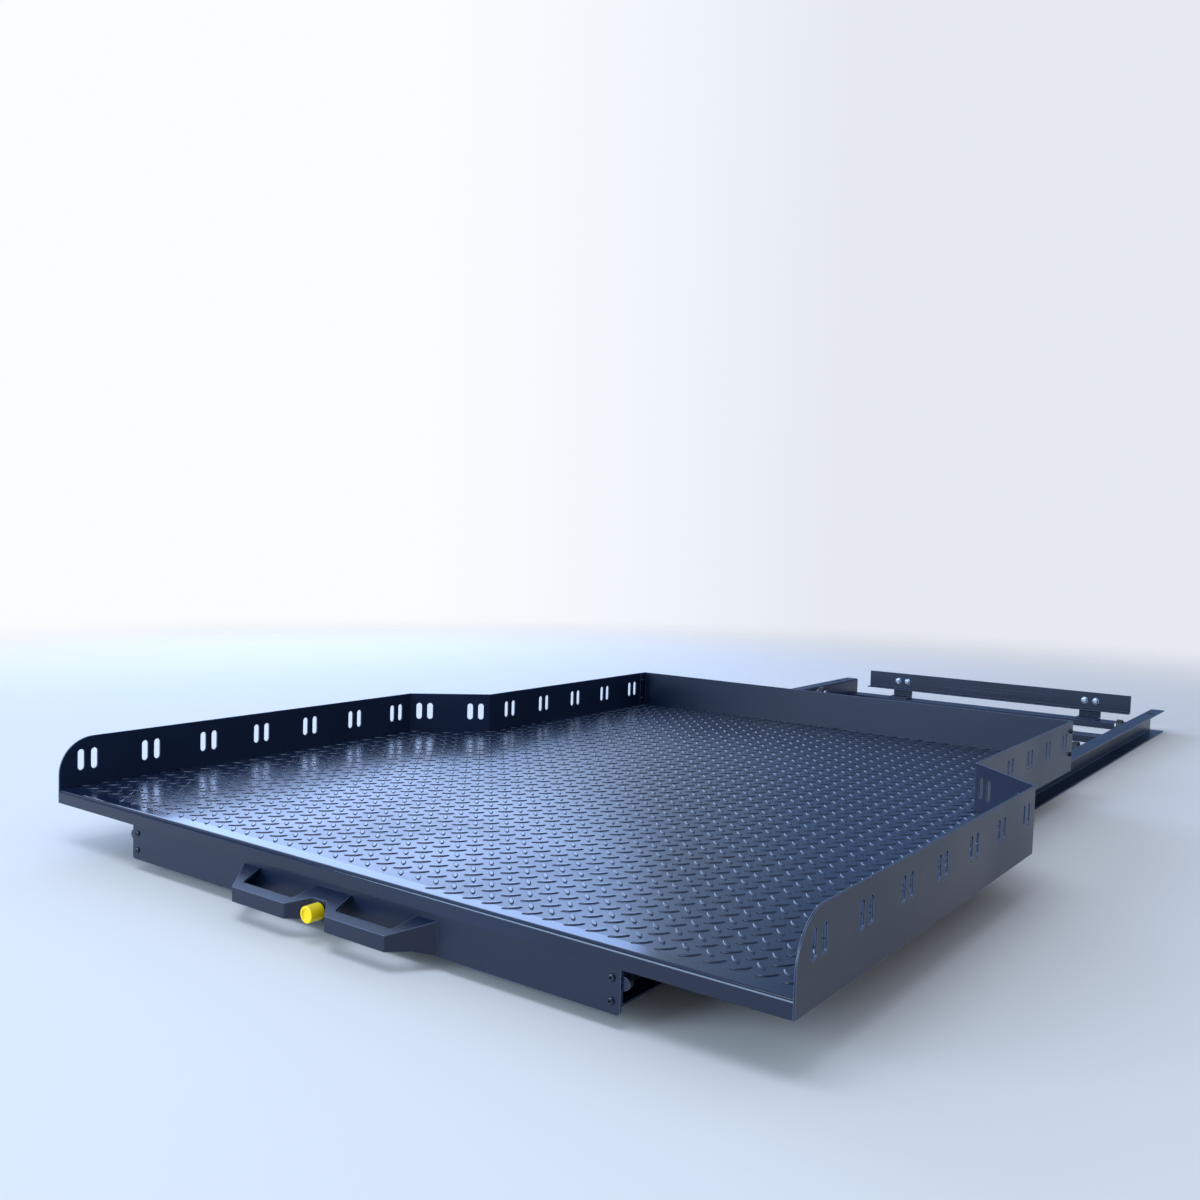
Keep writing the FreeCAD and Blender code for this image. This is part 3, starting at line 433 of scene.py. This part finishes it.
def tread_lugs():
    """The deck's raised tread as one mesh on its flat ground."""
    rings = lug_rings()
    count = len(rings[0])
    shape = bmesh.new()
    for middle, lean in lug_places():
        turn = Matrix.Rotation(lean + PATTERN_TURN, 2)
        loops = []
        for ring in rings:
            loop = []
            for along, across, up in ring:
                spot = middle + turn @ Vector((along, across))
                corner = (*inside_deck(spot.x, spot.y), DECK_TOP - LUG_SINK + up)
                loop.append(shape.verts.new(corner))
            loops.append(loop)
        for low, high in zip(loops, loops[1:]):
            for i in range(count):
                j = (i + 1) % count
                shape.faces.new((low[i], low[j], high[j], high[i]))
        shape.faces.new(loops[-1])
    bmesh.ops.recalc_face_normals(shape, faces=shape.faces)
    for face in shape.faces:
        face.smooth = len(face.verts) == 4  # the flanks are round, the top is flat
    mesh = bpy.data.meshes.new("tread_lugs")
    shape.to_mesh(mesh)
    shape.free()
    lugs = bpy.data.objects.new("tread_lugs", mesh)
    bpy.context.collection.objects.link(lugs)
    return lugs


def clothe():
    """Gives every carried-over node its finish, and the deck its lugs."""
    coat, tread, zinc, screws = powder_coat(), tread_coat(), zinc_plate(), black_zinc()
    chosen = {
        "deck_plate": tread,
        "wall_screws": screws,
        "wall_nuts": screws,
        "fascia_screws": screws,
        "pull_knob": yellow_plastic(),
        "return_spring": spring_wire(),
    }
    for name in ("pull_rod", "rod_collar", "cam_plate", "lock_pin", "cross_pin"):
        chosen[name] = zinc
    for name in ("axle_bolts", "axle_spacers", "axle_nuts", "bar_bolts", "bar_nuts"):
        chosen[name] = zinc
    families = {"roller_": black_nylon(), "stop_buffer_": rubber()}
    for name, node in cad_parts.items():
        family = [material for start, material in families.items() if name.startswith(start)]
        node.data.materials.clear()
        node.data.materials.append(family[0] if family else chosen.get(name, coat))
    lugs = tread_lugs()
    lugs.data.materials.append(tread)
    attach(lugs, "tray")


def floor():
    """Plain pale floor that keeps the object's shadow and fades out into the backdrop far away."""
    material, tree, out, place = new_material("pale_studio_floor")
    paint = add(
        tree,
        "ShaderNodeBsdfPrincipled",
        values={"Base Color": linear("#ece9e3"), "Roughness": 0.9, "Specular IOR Level": 0.1},
    )
    middle = (0.0, (size_before[0][1] + size_before[1][1]) / 2, 0.0)
    distance = add(tree, "ShaderNodeVectorMath", {"operation": "DISTANCE"}, {1: middle}, {0: place})
    fade = add(
        tree,
        "ShaderNodeMapRange",
        {"interpolation_type": "SMOOTHSTEP"},
        {"From Min": FLOOR_FADE_START, "From Max": FLOOR_FADE_END},
        {"Value": distance.outputs["Value"]},
    )
    clear = add(tree, "ShaderNodeBsdfTransparent")
    mixed = add(
        tree,
        "ShaderNodeMixShader",
        links={0: fade.outputs["Result"], 1: paint.outputs["BSDF"], 2: clear.outputs["BSDF"]},
    )
    tree.links.new(mixed.outputs["Shader"], out.inputs["Surface"])
    mesh = bpy.data.meshes.new("studio_floor")
    shape = bmesh.new()
    bmesh.ops.create_circle(shape, cap_ends=True, radius=FLOOR_RADIUS, segments=64)
    shape.to_mesh(mesh)
    shape.free()
    mesh.materials.append(material)
    ground = bpy.data.objects.new("studio_floor", mesh)
    ground.location.z = -FLOOR_DROP
    bpy.context.collection.objects.link(ground)


def soft_box(name, place, width, height, watts, code):
    """An elliptical lamp, aimed at the tray, that the camera doesn't see."""
    lamp = bpy.data.lights.new(name, "AREA")
    lamp.shape = "ELLIPSE"
    lamp.size, lamp.size_y = width, height
    lamp.energy = watts
    lamp.color = linear(code)[:3]
    rig = bpy.data.objects.new(name, lamp)
    rig.location = place
    rig.rotation_mode = "QUATERNION"
    rig.rotation_quaternion = (Vector(AIM) - Vector(place)).to_track_quat("-Z", "Y")
    rig.visible_camera = False
    bpy.context.collection.objects.link(rig)


def backdrop():
    """A studio sweep: white on the left, blue the other ways at eye level and pale overhead.

    The camera sees it whitened; polished faces mirror it as it is; all else gets a soft even light.
    """
    world = bpy.data.worlds.new("studio")
    bpy.context.scene.world = world
    world.use_nodes = True
    tree = world.node_tree
    tree.nodes.clear()
    place = add(tree, "ShaderNodeTexCoord").outputs["Generated"]
    flat = add(
        tree,
        "ShaderNodeVectorMath",
        {"operation": "MULTIPLY"},
        {1: (1.0, 1.0, 0.0)},
        {0: place},
    )
    level = add(
        tree,
        "ShaderNodeVectorMath",
        {"operation": "NORMALIZE"},
        links={0: flat.outputs["Vector"]},
    )
    toward = add(
        tree,
        "ShaderNodeVectorMath",
        {"operation": "DOT_PRODUCT"},
        {1: BRIGHT_SIDE},
        {0: level.outputs["Vector"]},
    )
    spread = add(
        tree,
        "ShaderNodeMapRange",
        values={"From Min": -1.0, "From Max": 1.0},
        links={"Value": toward.outputs["Value"]},
    )
    sweep = add(
        tree,
        "ShaderNodeValToRGB",
        links={"Fac": spread.outputs["Result"]},
        stops=[(0.30, "#6c8bbb"), (0.82, "#6c8bbb"), (0.875, "#bcd4f6"), (0.93, "#eef5ff")],
    )
    upward = add(tree, "ShaderNodeSeparateXYZ", links={"Vector": place})
    overhead = add(
        tree,
        "ShaderNodeMapRange",
        values={
            "From Min": OVERHEAD_STARTS,
            "From Max": OVERHEAD_FULL,
            "To Min": 0.0,
            "To Max": 1.0,
        },
        links={"Value": upward.outputs["Z"]},
    )
    ceiled = add(
        tree,
        "ShaderNodeMix",
        {"data_type": "RGBA"},
        {"B": linear("#c8defc")},
        {"Factor": overhead.outputs["Result"], "A": sweep.outputs["Color"]},
    )
    path = add(tree, "ShaderNodeLightPath")
    lift = add(
        tree,
        "ShaderNodeMath",
        {"operation": "MULTIPLY"},
        {1: SEEN_WHITENING},
        {0: path.outputs["Is Camera Ray"]},
    )
    whitened = add(
        tree,
        "ShaderNodeMix",
        {"data_type": "RGBA"},
        {"B": linear("#ffffff")},
        {"Factor": lift.outputs["Value"], "A": ceiled.outputs["Result"]},
    )
    mirrored = add(
        tree,
        "ShaderNodeMath",
        {"operation": "MAXIMUM"},
        links={0: path.outputs["Is Camera Ray"], 1: path.outputs["Is Glossy Ray"]},
    )
    seen = add(
        tree,
        "ShaderNodeMath",
        {"operation": "MAXIMUM"},
        links={0: mirrored.outputs["Value"], 1: path.outputs["Is Transmission Ray"]},
    )
    soft = add(tree, "ShaderNodeBackground", values={"Color": linear("#dbe6fb"), "Strength": 0.60})
    shown = add(
        tree,
        "ShaderNodeBackground",
        values={"Strength": 1.0},
        links={"Color": whitened.outputs["Result"]},
    )
    mixed = add(
        tree,
        "ShaderNodeMixShader",
        links={
            0: seen.outputs["Value"],
            1: soft.outputs["Background"],
            2: shown.outputs["Background"],
        },
    )
    out = add(tree, "ShaderNodeOutputWorld")
    tree.links.new(mixed.outputs["Shader"], out.inputs["Surface"])


def lights():
    """Soft boxes: a cool one behind on the left gives the deck its sheen; the others fill."""
    soft_box("soft_box_behind", (-3.2, 0.6, 1.75), 3.8, 2.1, 80.0, "#9cc0ff")
    soft_box("soft_box_front", (-2.4, -6.8, 1.8), 4.4, 3.0, 330.0, "#bfd8f6")
    soft_box("soft_box_above", (0.2, -2.9, 3.6), 3.0, 1.6, 50.0, "#d3e5ff")


def camera():
    """The photograph's view: place, direction, roll and lens."""
    lens = bpy.data.cameras.new("photo_view")
    lens.sensor_fit = "HORIZONTAL"
    lens.sensor_width = 36.0
    lens.lens = 35.0985
    lens.shift_x = -0.00046
    lens.shift_y = 0.00315
    lens.clip_start, lens.clip_end = 0.05, 200.0
    place = (1.1268, -2.9002, 0.5276)
    azimuth, tilt, roll = math.radians(35.917), math.radians(3.557), math.radians(1.702)
    forward = Vector((-math.sin(azimuth), math.cos(azimuth), 0.0)) * math.cos(tilt)
    forward.z = -math.sin(tilt)
    level_right = Vector((math.cos(azimuth), math.sin(azimuth), 0.0))
    level_up = level_right.cross(forward)
    right = level_right * math.cos(roll) + level_up * math.sin(roll)
    up = -level_right * math.sin(roll) + level_up * math.cos(roll)
    turn = Matrix((right, up, -forward)).transposed().to_4x4()
    rig = bpy.data.objects.new("photo_view", lens)
    rig.matrix_world = Matrix.Translation(place) @ turn
    bpy.context.collection.objects.link(rig)
    bpy.context.scene.camera = rig


clothe()
floor()
backdrop()
lights()
camera()
bpy.context.scene.view_settings.view_transform = "Standard"
